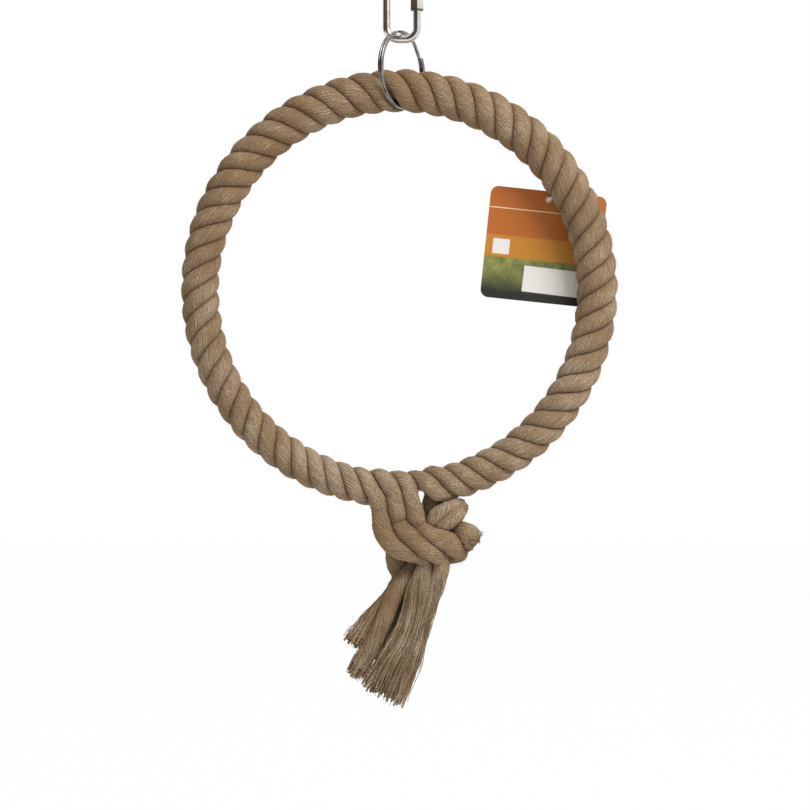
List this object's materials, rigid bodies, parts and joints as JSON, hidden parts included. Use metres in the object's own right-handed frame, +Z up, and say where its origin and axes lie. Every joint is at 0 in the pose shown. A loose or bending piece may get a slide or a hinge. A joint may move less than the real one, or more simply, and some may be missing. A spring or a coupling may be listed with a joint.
{
  "type": "rope ring bird swing",
  "caption": "Rope-covered ring perch for a pet bird, its strand ends knotted and frayed at the bottom, hung by a split ring and a screw-lock link, with a blank card tag.",
  "frame": {"origin": "hang point: the inside of the quick link's upper bow, where a hook carries it", "axes": "+Z up along the hanging line; the rope ring lies in an XZ plane with its front facing -Y; +X is to the right seen from the front"},
  "size_m": [0.276, 0.0441, 0.4656],
  "materials": {
    "polished_steel": "polished",
    "hoop_steel": "drawn wire",
    "rope": "laid natural fibre",
    "card": "printed, semi-matt",
    "nylon": "clear filament"
  },
  "bodies": {
    "link": {"quick_link": "polished_steel"},
    "nut": {"link_nut": "polished_steel"},
    "split": {"split_ring": "polished_steel"},
    "rope": {"rope_ring": "rope", "core_hoop": "hoop_steel", "left_front_strand": "rope", "left_middle_strand": "rope", "left_back_strand": "rope", "right_front_strand": "rope", "right_top_strand": "rope", "right_back_strand": "rope", "tag_pin": "nylon"},
    "tag": {"hang_tag": "card"}
  },
  "joints": [
    {"name": "nut_travel", "type": "slide", "parent": "link", "child": "nut", "axis": [0, 0, 1], "range_m": [0, 0.009]},
    {"name": "split_ring_swing", "type": "hinge", "parent": "link", "child": "split", "pos_m": [0, 0, -0.0445], "axis": [1, 0, 0], "range_deg": [-45, 45]},
    {"name": "rope_ring_rock", "type": "hinge", "parent": "split", "child": "rope", "pos_m": [0, 0, -0.0872], "axis": [0.5592, 0.829, 0], "range_deg": [-12, 12]},
    {"name": "tag_swing", "type": "hinge", "parent": "rope", "child": "tag", "pos_m": [0.09315, 0, -0.14383], "axis": [0, 1, 0], "range_deg": [-60, 60]}
  ]
}
